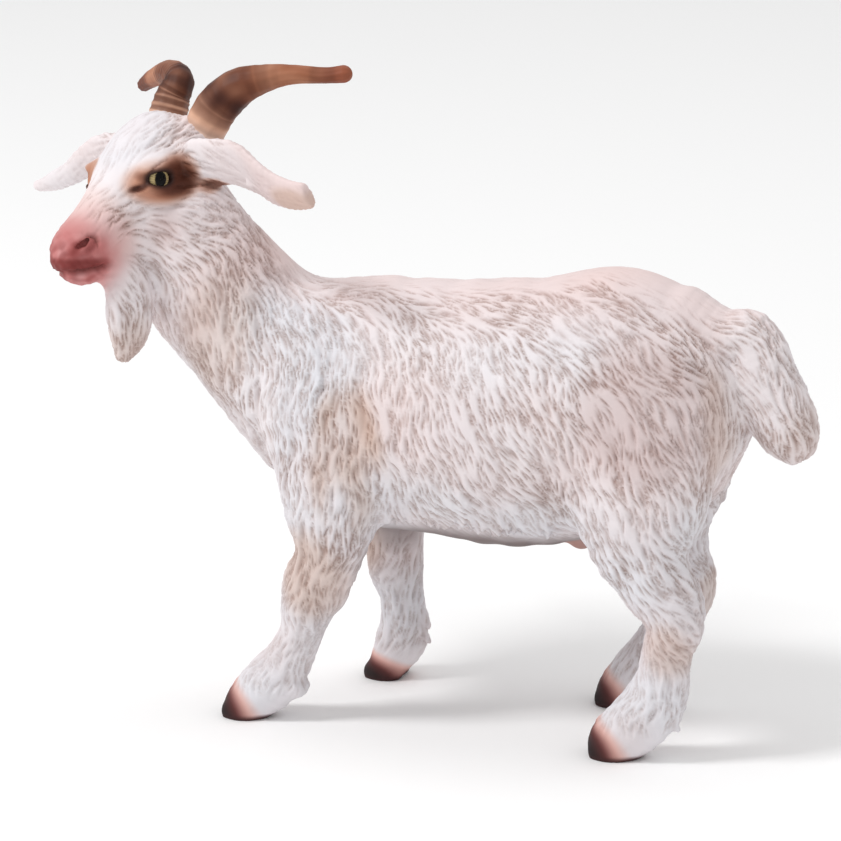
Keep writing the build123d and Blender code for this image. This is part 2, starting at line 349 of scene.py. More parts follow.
HINDLEG_LEFT = leg(-1, [
    (28.0, 10.2, 0.6, 2.9, 3.0),
    (29.0, 10.2, 2.4, 3.1, 3.4),
    (31.8, 10.2, 5.0, 3.0, 3.7),
    (33.9, 10.0, 8.2, 2.8, 3.6),
    (34.6, 10.0, 11.5, 2.8, 3.0),
    (35.0, 10.0, 14.5, 2.9, 3.0),
    (35.9, 9.9, 17.4, 3.2, 3.5),
    (34.9, 9.8, 20.4, 3.6, 4.3),
    (32.9, 9.8, 23.4, 3.9, 4.8),
    (31.2, 9.7, 27.0, 4.3, 6.3),
    (31.0, 9.4, 32.0, 4.7, 8.0),
    (31.6, 8.8, 39.0, 4.8, 8.4),
    (32.8, 7.8, 45.0, 4.2, 7.6),
    (33.8, 6.4, 50.0, 2.2, 3.6),
])
HINDLEG_RIGHT = leg(1, [
    (22.7, 9.8, 0.6, 2.9, 2.7),
    (23.7, 9.8, 2.4, 3.0, 2.9),
    (25.9, 9.8, 5.0, 2.9, 3.0),
    (28.2, 9.8, 8.6, 2.7, 2.9),
    (30.2, 9.8, 12.0, 2.7, 2.9),
    (31.4, 9.8, 15.0, 2.9, 3.3),
    (31.7, 9.8, 18.0, 3.2, 3.3),
    (30.8, 9.8, 21.0, 3.6, 3.3),
    (30.3, 9.7, 26.0, 4.2, 4.4),
    (31.0, 9.5, 31.0, 4.6, 6.3),
    (30.8, 9.2, 35.0, 4.6, 6.9),
    (30.6, 8.8, 39.0, 4.6, 7.2),
    (31.6, 7.8, 45.0, 3.8, 6.8),
    (33.8, 6.4, 50.0, 2.2, 3.6),
])
TAIL = [
    (home(33.4, 0, 53.8), 4.6, 3.6),
    (home(38.6, 0, 51.7), 4.0, 3.2),
    (home(42.0, 0, 51.3), 3.4, 3.7),
    (home(43.9, -0.4, 47.5), 3.6, 4.0),
    (home(45.8, -0.7, 43.6), 3.7, 4.0),
    (home(47.6, -1.0, 40.2), 3.3, 3.5),
    (home(48.6, -1.1, 38.1), 2.1, 2.2),
]
BEARD = [
    (home(-35.3, -12.6, 57.4), 2.2, 2.9),
    (home(-34.1, -13.2, 54.2), 2.1, 3.3),
    (home(-34.0, -13.5, 51.2), 1.9, 3.4),
    (home(-34.3, -13.8, 48.4), 1.5, 2.3),
    (home(-34.8, -14.0, 46.2), 0.8, 0.9),
]
EAR_LEFT = [
    (home(-30.5, -5.0, 69.3), 2.0, 1.5),
    (home(-27.2, -6.8, 70.0), 3.2, 1.3),
    (home(-22.9, -9.1, 71.0), 3.3, 1.0),
    (home(-19.0, -11.2, 70.8), 3.7, 0.8),
    (home(-15.4, -13.6, 69.5), 3.0, 0.8),
    (home(-11.8, -15.6, 69.0), 2.2, 0.8),
    (home(-9.0, -17.1, 69.4), 1.7, 0.7),
]
EAR_RIGHT = [
    (home(-38.2, -1.8, 69.2), 2.2, 1.4),
    (home(-40.7, -0.6, 69.4), 2.6, 1.2),
    (home(-44.4, 1.2, 68.3), 2.1, 0.9),
    (home(-48.7, 3.6, 65.3), 1.5, 0.8),
    (home(-52.4, 5.8, 63.3), 1.1, 0.7),
    (home(-55.2, 7.4, 62.3), 0.6, 0.5),
]
HORN_LEFT = [
    (home(-30.0, -1.8, 70.4), 2.7, 2.8),
    (home(-28.4, -1.5, 73.4), 2.6, 2.7),
    (home(-26.6, -1.2, 76.4), 2.5, 2.7),
    (home(-23.9, -1.1, 78.8), 2.2, 2.4),
    (home(-20.4, -0.5, 80.1), 1.7, 1.7),
    (home(-17.0, 0.0, 80.6), 1.25, 1.2),
    (home(-13.0, 0.5, 80.7), 1.05, 1.0),
    (home(-10.8, 0.9, 80.9), 1.1, 1.1),
]
HORN_RIGHT = [
    (home(-34.9, 0.4, 70.4), 2.7, 2.8),
    (home(-34.6, 1.2, 73.4), 2.5, 2.5),
    (home(-34.2, 2.2, 76.2), 2.2, 2.3),
    (home(-33.7, 3.4, 78.1), 1.8, 2.0),
    (home(-36.6, 7.4, 78.3), 1.6, 1.6),
    (home(-40.2, 11.2, 76.8), 1.2, 1.2),
    (home(-42.6, 13.4, 75.3), 0.9, 0.9),
]


def head_blob(forward, left, crown, *radii):
    """One ellipsoid on the middle of the face, or a pair of them when left isn't zero."""
    sides = (1, -1) if left else (0,)
    return [Blob(on_head(forward, left * side, crown), radii, HEAD_AXES) for side in sides]


def eye_blob(along, left, up, *radii):
    """A pair of ellipsoids placed along, beside and above the line of each eye."""
    place = SLANT_AXES[0] * along + SLANT_AXES[2] * up
    return [Blob(HEAD_ORIGIN + place + HEAD_LEFT * left * side, radii, SLANT_AXES) for side in (1, -1)]


def head_run(rows):
    """rows are (forward, crown, half width, half height) along the face."""
    return limb([(on_head(f, 0, c), w, h) for f, c, w, h in rows], HEAD_LEFT)


def head_shapes():
    skull = head_run([
        (-6.6, -1.0, 5.2, 5.2),
        (-2.0, -0.8, 5.2, 4.9),
        (3.0, -1.8, 3.6, 3.8),
        (8.0, -2.5, 3.0, 3.1),
        (12.0, -3.0, 2.9, 2.9),
    ])
    jaw = head_run([
        (-5.0, -4.8, 3.8, 3.2),
        (0.0, -5.8, 3.2, 2.9),
        (6.0, -6.3, 2.5, 2.4),
        (11.0, -5.3, 2.4, 1.5),
    ])
    cheeks = head_blob(-2.5, 2.8, -4.0, 5.0, 2.2, 4.0)
    eye_rims = head_blob(-0.4, 4.1, 0.0, 3.4, 2.1, 2.3)
    upper_lids = eye_blob(0.0, 5.95, 1.3, 2.1, 1.0, 0.5)
    lower_lids = eye_blob(0.1, 5.85, -1.25, 2.0, 0.95, 0.45)
    nose = head_blob(12.6, 0, -3.1, 2.7, 3.0, 2.6)
    chin = head_blob(12.2, 0, -5.3, 2.2, 2.4, 1.4)
    poll = head_blob(-5.0, 0, 2.2, 4.6, 4.2, 2.2)
    horn_fur = [
        Blob(home(-29.6, -1.6, 71.9), (3.4, 3.4, 2.9)),
        Blob(home(-34.8, 0.6, 71.6), (3.2, 3.2, 2.6)),
    ]
    return skull + jaw + cheeks + eye_rims + upper_lids + lower_lids + nose + chin + poll + horn_fur


def claws(rows):
    """The two halves of a hoof, from under the fetlock to the toe."""
    foot = rows[0][0]
    halves = []
    for side in (1, -1):
        halves += limb([
            (foot + (1.4, 1.35 * side, 1.2), 1.6, 1.8),
            (foot + (0.1, 1.4 * side, 0.4), 1.75, 2.0),
            (foot + (-1.6, 1.2 * side, -0.2), 1.2, 1.2),
        ], SIDEWAYS)
    return halves


def lock(root, tip, radius):
    """A tuft of hair that stands off the coat and ends in a point."""
    root, tip = np.array(root), np.array(tip)
    arch = (0, 0, 0.15 * np.linalg.norm(tip - root))
    return limb([
        (root, radius, radius),
        ((root + tip) / 2 + arch, radius * 0.55, radius * 0.5),
        (tip, 0.15, 0.1),
    ], SIDEWAYS)


LOCKS = {
    "foreleg_right": (
        lock(home(-5.4, 10.8, 9.4), home(-3.0, 10.9, 6.9), 1.1)
        + lock(home(-5.4, 10.1, 7.4), home(-2.7, 10.0, 5.2), 1.1)
        + lock(home(-5.8, 10.4, 13.4), home(-3.8, 10.5, 10.4), 1.0)
        + lock(home(-5.6, 10.4, 20.0), home(-4.2, 10.4, 16.6), 1.0)
        + lock(home(-5.4, 10.4, 24.0), home(-4.0, 10.4, 20.4), 1.0)
    ),
    "foreleg_left": [Blob(home(-13.6, -10.0, 4.4), (1.6, 2.2, 1.5))],
    "hindleg_left": lock(home(33.2, -10.1, 5.8), home(36.6, -10.1, 3.9), 1.8),
    "hindleg_right": (
        lock(home(32.4, 9.9, 20.8), home(34.9, 9.9, 18.0), 1.2)
        + lock(home(31.8, 9.8, 24.6), home(34.2, 9.8, 21.8), 1.2)
        + lock(home(31.6, 9.8, 29.0), home(34.4, 9.8, 26.2), 1.3)
        + lock(home(27.4, 9.8, 5.6), home(29.8, 9.8, 3.8), 1.3)
    ),
}
LEGS = {
    "foreleg_left": FORELEG_LEFT,
    "foreleg_right": FORELEG_RIGHT,
    "hindleg_left": HINDLEG_LEFT,
    "hindleg_right": HINDLEG_RIGHT,
}


def sculpt():
    goat = Sculpture()
    goat.add("trunk", limb(TRUNK, SIDEWAYS, 3) + [SHEATH], 1.0, inner=0.8)
    goat.add("neck", limb(NECK, SIDEWAYS), 4.5)
    for name, rows in LEGS.items():
        goat.add(name, limb(rows, SIDEWAYS, 3) + claws(rows) + LOCKS[name], 3.0, inner=0.5)
    goat.add("tail", limb(TAIL, SIDEWAYS), 1.6)
    goat.add("head", head_shapes(), 2.4, inner=1.6)
    goat.add("beard", limb(BEARD, HEAD_LEFT), 1.4)
    goat.add("ear_left", limb(EAR_LEFT, HEAD_CROWN), 1.0)
    goat.add("ear_right", limb(EAR_RIGHT, HEAD_CROWN), 1.0)
    eye_openings = eye_blob(0.2, 7.1, -0.05, 1.95, 1.7, 0.78)
    nostrils = head_blob(12.5, 2.8, -1.4, 1.35, 0.5, 0.35)
    goat.cut(eye_openings, 0.25)
    goat.cut(nostrils, 0.3)
    return goat


# ---- working on the sculpted surface ----


def point_tree(points):
    tree = KDTree(len(points))
    for i, point in enumerate(points.tolist()):
        tree.insert(point, i)
    tree.balance()
    return tree


def nearest_index(tree, points):
    return np.array([tree.find(point)[1] for point in points.tolist()])


def smooth_step(x):
    x = np.clip(x, 0, 1)
    return x * x * (3 - 2 * x)


def inside(points, place, radii, axes=np.eye(3)):
    """1 well inside an ellipsoid, 0 well outside it, and smooth between."""
    k = np.linalg.norm((points - place) @ np.asarray(axes).T / radii, axis=1)
    return smooth_step((1.3 - k) / 0.6)


def sum_at(index, values, count):
    return np.stack([np.bincount(index, values[:, k], count) for k in range(3)], 1)


def vertex_normals(points, quads):
    corner = points[quads]
    face = np.cross(corner[:, 2] - corner[:, 0], corner[:, 3] - corner[:, 1])
    total = sum_at(quads.ravel(), np.repeat(face, 4, axis=0), len(points))
    return total / np.maximum(np.linalg.norm(total, axis=1, keepdims=True), 1e-9)


def unit_rows(vectors):
    return vectors / np.maximum(np.linalg.norm(vectors, axis=1, keepdims=True), 1e-9)


def soft_noise(points, size, seed):
    """Smooth seeded noise from -1 to 1, with features about size across."""
    rng = np.random.default_rng(seed)
    total = np.zeros(len(points))
    for _ in range(12):
        wave = unit(rng.normal(size=3)) * rng.uniform(0.7, 1.5) * 2 * math.pi / (2 * size)
        total += np.sin(points @ wave + rng.uniform(0, 2 * math.pi))
    return np.clip(total / 5, -1, 1)


def both_sides(rows):
    """Rows of (place, direction), mirrored where the place is to one side."""
    out = []
    for (x, y, z), direction in rows:
        for side in (1, -1) if y else (1,):
            out.append((home(x, y * side, z), direction))
    return out


# Which way the hair lies: (place, direction).
HAIR_FLOW = both_sides([
    ((-10, 0, 57), (1, 0, -0.2)),
    ((12, 0, 58), (1, 0, -0.1)),
    ((30, 0, 60), (1, 0, -0.2)),
    ((-4, 10, 54), (0.55, 0, -0.85)),
    ((12, 10, 54), (0.75, 0, -0.7)),
    ((26, 9, 56), (0.8, 0, -0.6)),
    ((2, 14, 42), (0.32, 0, -0.95)),
    ((14, 14, 42), (0.42, 0, -0.9)),
    ((24, 13, 44), (0.5, 0, -0.85)),
    ((4, 12, 30), (0.3, 0, -0.95)),
    ((16, 12, 30), (0.5, 0, -0.85)),
    ((10, 0, 23), (1, 0, 0)),
    ((-9, 12, 46), (0.1, 0, -1)),
    ((-10, 12, 36), (-0.1, 0, -1)),
    ((-22, 0, 38), (0.4, 0, -0.9)),
    ((-22, 8, 46), (0.1, 0, -1)),
    ((-27, 6, 54), (0.15, 0, -1)),
    ((-20, 0, 58), (0.75, 0, -0.7)),
    ((35, 7, 52), (0.9, 0, -0.4)),
    ((32, 12, 44), (0.65, 0, -0.75)),
    ((37, 8, 40), (0.1, 0, -1)),
    ((29, 13, 36), (0.35, 0, -0.95)),
    ((30, 12, 27), (0.35, 0, -0.95)),
    ((31, 10, 18), (-0.15, 0, -1)),
    ((35, 10, 23), (0.9, 0, -0.45)),
    ((36.5, 10, 18), (1, 0, 0.1)),
    ((35.5, 10, 13), (0.5, 0, -1)),
    ((33, 10, 8), (-0.3, 0, -1)),
    ((-8, 11, 26), (-0.2, 0, -1)),
    ((-11, 11, 16), (-0.3, 0, -1)),
    ((-12, 11, 8), (-0.25, 0, -1)),
    ((42, 0, 52), (0.8, 0, -0.6)),
    ((46, 0, 45), (0.35, 0, -0.95)),
]) + [
    (on_head(9, 0, 0), HEAD_CROWN * 0.3 - HEAD_FORWARD),
    (on_head(1, 0, 3), HEAD_CROWN * 0.6 - HEAD_FORWARD),
    (on_head(-6, 0, 5), HEAD_CROWN - HEAD_FORWARD * 0.6),
    (on_head(3, 4.5, -2), -HEAD_FORWARD - HEAD_CROWN * 0.2),
    (on_head(3, -4.5, -2), -HEAD_FORWARD - HEAD_CROWN * 0.2),
    (on_head(1, 4, -7), -HEAD_FORWARD - HEAD_CROWN * 0.9),
    (on_head(1, -4, -7), -HEAD_FORWARD - HEAD_CROWN * 0.9),
    (on_head(-5, 5, -4), -HEAD_FORWARD * 0.6 - HEAD_CROWN),
    (on_head(-5, -5, -4), -HEAD_FORWARD * 0.6 - HEAD_CROWN),
    (BEARD[1][0], (0.05, 0, -1)),
    (BEARD[3][0], (-0.1, 0, -1)),
    (EAR_LEFT[2][0], EAR_LEFT[4][0] - EAR_LEFT[1][0]),
    (EAR_LEFT[5][0], EAR_LEFT[6][0] - EAR_LEFT[3][0]),
    (EAR_RIGHT[2][0], EAR_RIGHT[4][0] - EAR_RIGHT[1][0]),
    (EAR_RIGHT[4][0], EAR_RIGHT[5][0] - EAR_RIGHT[3][0]),
]
FLOW_REACH = 7.0                       # how far each direction is felt, mm


def ear_axes(rows):
    """Directions along, across and out of an ear."""
    along = unit(rows[-1][0] - rows[1][0])
    across = unit(HEAD_CROWN - along * np.dot(HEAD_CROWN, along))
    return np.array([along, across, np.cross(along, across)])


# Where the coat is smooth: (place, radii, how much of the hair is gone, axes).
SMOOTH = [
    (on_head(12.5, 0, -4.5), (6.0, 6.0, 6.0), 0.95, HEAD_AXES),
    (on_head(1, 0, 2.5), (12.0, 4.6, 4.0), 0.45, HEAD_AXES),
    (home(9, 0, 22.5), (21, 12, 5.2), 0.92, np.eye(3)),
    (home(4, 0, 58.5), (34, 4.6, 4.0), 0.68, np.eye(3)),
    (home(34, 0, 57.5), (8, 7.0, 4.0), 0.6, np.eye(3)),
    (EYE_LEFT, (3.6, 3.0, 3.0), 0.75, HEAD_AXES),
    (EYE_RIGHT, (3.6, 3.0, 3.0), 0.75, HEAD_AXES),
    (EAR_LEFT[4][0], (12.5, 5.5, 3.5), 0.65, ear_axes(EAR_LEFT)),
    (EAR_RIGHT[3][0], (10.5, 5.0, 3.5), 0.65, ear_axes(EAR_RIGHT)),
]


def hair_flow(points, normals):
    """The lie of the hair at each point, along the surface."""
    total = np.zeros_like(points)
    for place, direction in HAIR_FLOW:
        share = np.exp(-(np.linalg.norm(points - place, axis=1) / FLOW_REACH) ** 2) + 1e-9
        total += share[:, None] * unit(direction)
    total -= normals * np.sum(total * normals, axis=1, keepdims=True)
    ahead = unit_rows(total)
    sway = (0.42 * soft_noise(points, 3.2, 21))[:, None]
    return ahead * np.cos(sway) + np.cross(normals, ahead) * np.sin(sway)


def hair_length(points):
    """How deep the hair is at each point, from 0 to 1."""
    amount = np.ones(len(points))
    for place, radii, loss, axes in SMOOTH:
        amount *= 1 - loss * inside(points, place, radii, axes)
    return amount * smooth_step((points[:, 2] - 2.5) / 3)


class Surface:
    """The meshed coat, and what is known at each of its points."""

    def __init__(self, points, quads):
        self.points = points.astype(float)
        self.quads = quads
        self.normals = vertex_normals(self.points, quads)
        self.rest = self.points.copy()
        self.tree = point_tree(self.points)
        self.flow = hair_flow(self.points, self.normals)
        self.hair = hair_length(self.points)
        self.groove = np.zeros(len(points))

    def strands(self, count, length, wander, steps, rng, where=None):
        """Lines that start at random points and follow the hair over the surface: (count, steps, 3)."""
        share = self.hair if where is None else self.hair * where
        picks = rng.choice(len(self.points), count, p=share / share.sum())
        place = self.rest[picks]
        pace = length / steps * rng.uniform(0.65, 1.25, count)[:, None]
        turn = rng.normal(0, wander, count)[:, None]
        curl = rng.normal(0, wander * 1.6, count)[:, None]
        lines = [place]
        for step in range(steps - 1):
            ahead = self.flow[picks]
            aside = np.cross(self.normals[picks], ahead)
            angle = turn + curl * (step / steps - 0.5)
            place = place + (ahead * np.cos(angle) + aside * np.sin(angle)) * pace
            picks = nearest_index(self.tree, place)
            off = np.sum((place - self.rest[picks]) * self.normals[picks], axis=1, keepdims=True)
            place = place - self.normals[picks] * off
            lines.append(place)
        return np.stack(lines, 1)

    def engrave(self, lines, half_width, depth, ink=1.0, hair=True):
        """Press lines into the surface, deepest midway along; ink is how much dark wash they hold."""
        count, steps, _ = lines.shape
        ahead = unit_rows(np.gradient(lines, axis=1).reshape(-1, 3))
        flat = lines.reshape(-1, 3)
        taper = np.tile(np.sin(math.pi * (np.arange(steps) + 0.7) / (steps + 0.4)) ** 0.7, count)
        tree = point_tree(flat)
        found = nearest_index(tree, self.rest)
        gap = self.rest - flat[found]
        gap -= ahead[found] * np.clip(np.sum(gap * ahead[found], axis=1, keepdims=True), -0.4, 0.4)
        near = np.clip(1 - np.linalg.norm(gap, axis=1) / half_width, 0, 1)
        press = near ** 1.1 * taper[found] * (self.hair if hair else 1)
        self.points -= self.normals * (press * depth)[:, None]
        self.groove = np.maximum(self.groove, press * ink)

    def swell(self, amount):
        self.points += self.normals * amount[:, None]


def on_surface(surface, rows, steps=24):
    """A smooth line through rows of places, laid on the surface: (1, steps, 3)."""
    index = nearest_index(surface.tree, along_rows(np.array(rows, float), steps))
    return surface.rest[index][None]


BONE_PITCH = 5.4                       # between the knobs of the backbone, mm
FRINGE_HEIGHT = 26.6                   # where the flank's long hair ends, mm above the ground
# (count, length, wander, steps, half width, depth, ink) of the hair's three sizes; see strands, engrave.
FOLDS = (70, 9.0, 0.2, 16, 1.0, 0.4, 0.5)
TUFTS = (1200, 3.4, 0.12, 9, 0.55, 0.26, 0.85)
HAIRS = (13000, 2.1, 0.1, 8, 0.27, 0.27, 1.0)


def comb(surface):
    """The coat's clumps, backbone and fringe, and then hair in three sizes."""
    x, y, z = (surface.rest - HOME).T
    surface.swell((soft_noise(surface.rest, 5.0, 3) * 0.16 + 0.14) * surface.hair)
    surface.swell(soft_noise(surface.rest * (1, 1, 0.45), 2.2, 4) * 0.12 * surface.hair)
    ridge = np.exp(-((y / 2.6) ** 2)) * smooth_step((z - 50) / 3)
    spine = ridge * smooth_step((x + 9) / 3) * smooth_step((19 - x) / 4)
    surface.swell(0.2 * spine * np.sin(x * 2 * math.pi / BONE_PITCH))
    tooth = (x / 1.5 + 0.35 * np.sin(x * 1.3)) % 1
    fringe = z - FRINGE_HEIGHT - 1.3 * tooth**2 - 0.4 * np.sin(x * 0.9)
    flank = smooth_step((x + 4) / 3) * smooth_step((21 - x) / 3) * smooth_step((np.abs(y) - 4) / 2)
    surface.swell(0.7 * flank * smooth_step(fringe / 0.4) * np.exp(-np.clip(fringe, 0, None) / 3.5))
    rng = np.random.default_rng(SEED)
    front = inside(surface.rest, home(-16, 0, 42), (13, 20, 22))
    for size, where in ((FOLDS, front), (TUFTS, None), (HAIRS, None)):
        count, length, wander, steps, half_width, depth, ink = size
        lines = surface.strands(count, length, wander, steps, rng, where)
        surface.engrave(lines, half_width, depth, ink)


# Lines cut into the face: (half width, depth, places forward, left and crownward on the head).
FACE_LINES = {
    "mouth": (0.55, 0.7, [
        (15.2, 0.0, -3.7), (14.6, 1.8, -4.0), (13.2, 2.6, -4.6), (11.7, 3.0, -5.2), (10.2, 3.2, -5.9),
    ]),
    "tear_duct": (0.6, 0.4, [(1.6, 6.2, 0.6), (3.0, 4.8, 0.4), (4.0, 4.2, -0.4)]),
    "lid_fold": (0.4, 0.25, [(1.9, 6.0, 0.7), (0.6, 6.6, 1.7), (-1.0, 6.6, 1.7), (-2.6, 6.0, 0.9)]),
    "nostril_wing": (0.5, 0.4, [(11.4, 2.8, -0.7), (10.6, 3.0, -1.8), (11.2, 3.1, -3.0)]),
}


def carve_face(surface):
    muzzle = inside(surface.rest, on_head(13.0, 0, -4.6), (4.4, 5.0, 5.4), HEAD_AXES)
    pores = soft_noise(surface.rest, 0.6, 12) * 0.1 + soft_noise(surface.rest, 1.6, 13) * 0.08
    surface.swell(muzzle * pores)
    for side in (1, -1):
        for half_width, depth, places in FACE_LINES.values():
            line = on_surface(surface, [on_head(f, left * side, c) for f, left, c in places])
            surface.engrave(line, half_width, depth, hair=False)


# ---- paint ----


def tone(r, g, b):
    """A given colour. Paint is mixed in these values, from 0 to 1."""
    return np.array([r, g, b]) / 255


def linear(colour):
    """The same colour in the values that Blender wants."""
    return ((colour + 0.055) / 1.055) ** 2.4


class Paint:
    """A colour for each of count points, laid on coat by coat."""

    def __init__(self, ground, count):
        self.colour = np.tile(ground, (count, 1))

    def brush(self, tint, amount):
        share = np.clip(amount, 0, 1)[:, None]
        self.colour = self.colour * (1 - share) + tint * share


WHITE = tone(234, 227, 229)
ROSE = tone(226, 201, 197)
COOL = tone(220, 221, 227)
TAN = tone(196, 162, 142)
# A darker pink-beige that is painted shade, on the rump's shadow side and under the jaw.
SHADE_TAUPE = tone(206, 186, 184)
# A dark grey that is painted shade under the belly.
BELLY_SHADE = tone(112, 97, 95)
MUZZLE = tone(190, 112, 110)
LIP = tone(112, 38, 36)
EYE_TAN = tone(178, 118, 90)
EYE_BROWN = tone(72, 34, 22)
EYE_LINE = tone(34, 18, 16)
SOLE = tone(26, 14, 15)
HOOF = tone(90, 44, 42)
PINK = tone(216, 158, 144)
WASH = tone(158, 132, 124)


def paint_coat(surface):
    at = surface.rest
    coat = Paint(WHITE, len(at))
    brush = coat.brush
    drift = soft_noise(at * (1, 1, 0.6), 3.0, 5)

    def spray(tint, strength, place, radii, axes=np.eye(3), patches=0.12):
        """A soft patch of colour, uneven by the share that patches says."""
        patchy = 1 - patches + patches * drift
        brush(tint, strength * inside(at, place, radii, axes) * patchy)

    x, _, z = (at - HOME).T
    brush(ROSE, 0.85 * smooth_step((z - 50) / 9) * smooth_step((x + 30) / 12))
    # Painted shade: the coat turns cooler and a little darker towards the bottom.
    brush(COOL, 0.6 * smooth_step((40 - z) / 14))
    brush(ROSE, 0.4 * (0.5 + 0.5 * soft_noise(at, 7.0, 6)))
    brush(COOL, 0.3 * (0.5 + 0.5 * soft_noise(at, 9.0, 7)))
    spray(COOL, 0.6, on_head(-3, 0, 5), (6, 6, 4), HEAD_AXES)
    spray(WHITE, 0.6, EAR_LEFT[2][0], (8, 6, 4))
    for side in (1, -1):
        spray(COOL, 0.85, home(-14, 10 * side, 44), (10, 6, 13))
        spray(WHITE, 0.9, home(-21, 6 * side, 40), (8, 8, 11))
        spray(TAN, 0.8, home(-5.5, 13 * side, 35.5), (4.5, 5, 9), patches=0.5)
        # Painted shade on the rump, which lies on the shadow side.
        spray(SHADE_TAUPE, 0.8, home(32, 11 * side, 44), (8, 8, 9))
        spray(TAN, 0.5, home(-10.5, 11 * side, 20.5), (4.5, 6, 6))
        spray(TAN, 0.35, home(35.5, 10 * side, 15), (3, 5, 4))
        spray(TAN, 0.3, home(-24, 7 * side, 50), (5, 5, 9))
        spray(TAN, 0.3, home(41, 7 * side, 42), (4, 4, 8))
        # Painted shade under the jaw.
        spray(SHADE_TAUPE, 0.85, on_head(-1, 5.0 * side, -6.5), (5, 3, 3.5), HEAD_AXES)
        spray(EYE_TAN, 0.9, on_head(-0.4, 5.6 * side, -0.9), (4.9, 4.0, 2.6), SLANT_AXES)
        spray(EYE_TAN, 0.9, on_head(-1.8, 6.2 * side, -0.8), (3.4, 3.2, 2.2), HEAD_AXES)
        spray(EYE_BROWN, 0.9, on_head(-1.4, 6.2 * side, -1.2), (3.5, 3.0, 2.1), SLANT_AXES)
        spray(EYE_BROWN, 0.55, on_head(-2.0, 6.2 * side, -0.8), (2.6, 3.0, 1.9), HEAD_AXES)
        spray(EYE_BROWN, 0.5, on_head(1.4, 4.7 * side, 1.0), (0.9, 1.6, 1.0), HEAD_AXES)
        spray(EYE_BROWN, 1.0, on_head(2.2, 4.8 * side, 0.42), (1.5, 1.6, 0.5), HEAD_AXES)
        spray(EYE_LINE, 1.0, on_head(0.1, 6.6 * side, 0.1), (2.0, 1.6, 1.2), SLANT_AXES)
    spray(EYE_TAN, 0.75, on_head(1.5, -4.4, 1.9), (1.7, 1.5, 1.7), HEAD_AXES)
    # Painted shadow under the near ear's root, in the eye patches' tan and brown.
    spray(EYE_TAN, 0.65, home(-24.9, -8.4, 67.6), (2.2, 2.2, 1.0))
    spray(EYE_BROWN, 0.7, home(-24.8, -8.4, 67.6), (1.8, 2.0, 0.7))
    # Painted shadow under the belly: the underside darkened grey.
    spray(BELLY_SHADE, 0.95, home(10, 0, 21.6), (20, 12, 5.6))
    spray(PINK, 0.6, home(20.8, 0, 24.2), (3, 3, 2.6))
    spray(TAN, 0.35, home(-34.5, -13.5, 48), (3, 3, 6))
    spray(TAN, 0.2, home(48, 0, 41), (4, 5, 4))
    spray(WHITE, 0.85, home(44, -3, 47), (5, 5, 9))
    spray(TAN, 0.6, home(-10.5, -16.4, 67.9), (5, 3, 2.2))
    spray(ROSE, 0.9, on_head(8.5, 0, -2.5), (5, 5, 6), HEAD_AXES)
    uneven = 0.85 + 0.15 * soft_noise(at, 1.4, 15)
    brush(MUZZLE, 0.35 * uneven * inside(at, on_head(12.2, 0, -3.3), (6.6, 6.5, 5.6), HEAD_AXES))
    brush(MUZZLE, 0.95 * uneven * inside(at, on_head(13.4, 0, -3.3), (5.4, 6.0, 4.7), HEAD_AXES))
    blotch = smooth_step(0.5 + 0.6 * soft_noise(at, 0.9, 14))
    brush(LIP, 0.4 * blotch * inside(at, on_head(13.4, 0, -3.6), (3.8, 4.4, 3.6), HEAD_AXES))
    for side in (1, -1):
        spray(LIP, 0.5, on_head(12.4, 2.5 * side, -1.7), (2.2, 2.0, 1.0), HEAD_AXES)
    spray(LIP, 0.95, on_head(13.2, 0, -3.8), (4.2, 4.6, 1.1), SLANT_AXES)
    for leg_name, toe, height in (
        ("foreleg_left", -3.4, 4.6),
        ("foreleg_right", -1.8, 3.3),
        ("hindleg_left", -3.4, 4.6),
        ("hindleg_right", -3.2, 4.6),
    ):
        foot = LEGS[leg_name][0][0] * (1, 1, 0)
        low = np.linalg.norm((at - foot - (toe, 0, 0)) / (5.4, 12.0, height), axis=1)
        brush(PINK, 0.75 * smooth_step((1.32 - low) / 0.35))
        brush(HOOF, smooth_step((1.08 - low) / 0.4))
        brush(SOLE, 0.96 * smooth_step((0.88 - low) / 0.55))
        close = np.linalg.norm((at - foot)[:, :2], axis=1) < 5
        brush((HOOF + SOLE) / 2, 0.85 * close * smooth_step((0.9 - z) / 0.8))
    wash = surface.groove**1.7 * (0.7 + 0.3 * soft_noise(at, 5.0, 8))
    wash *= 0.6 + 0.4 * smooth_step((z - 10) / 14)
    return coat.colour * (1 - wash[:, None] * (1 - WASH / WHITE))


# ---- materials ----


def link(tree, source, output, target, socket):
    tree.links.new(source.outputs[output], target.inputs[socket])


def new_material(name):
    """A material, its node tree and its shader."""
    material = bpy.data.materials.new(name)
    material.use_nodes = True
    return material, material.node_tree, material.node_tree.nodes["Principled BSDF"]


def noise_node(tree, scale, detail):
    noise = tree.nodes.new("ShaderNodeTexNoise")
    noise.inputs["Scale"].default_value = scale
    noise.inputs["Detail"].default_value = detail
    return noise


def spread_node(tree, noise, low, high):
    """Spreads a noise between two values."""
    spread = tree.nodes.new("ShaderNodeMapRange")
    spread.inputs["To Min"].default_value = low
    spread.inputs["To Max"].default_value = high
    link(tree, noise, "Fac", spread, "Value")
    return spread


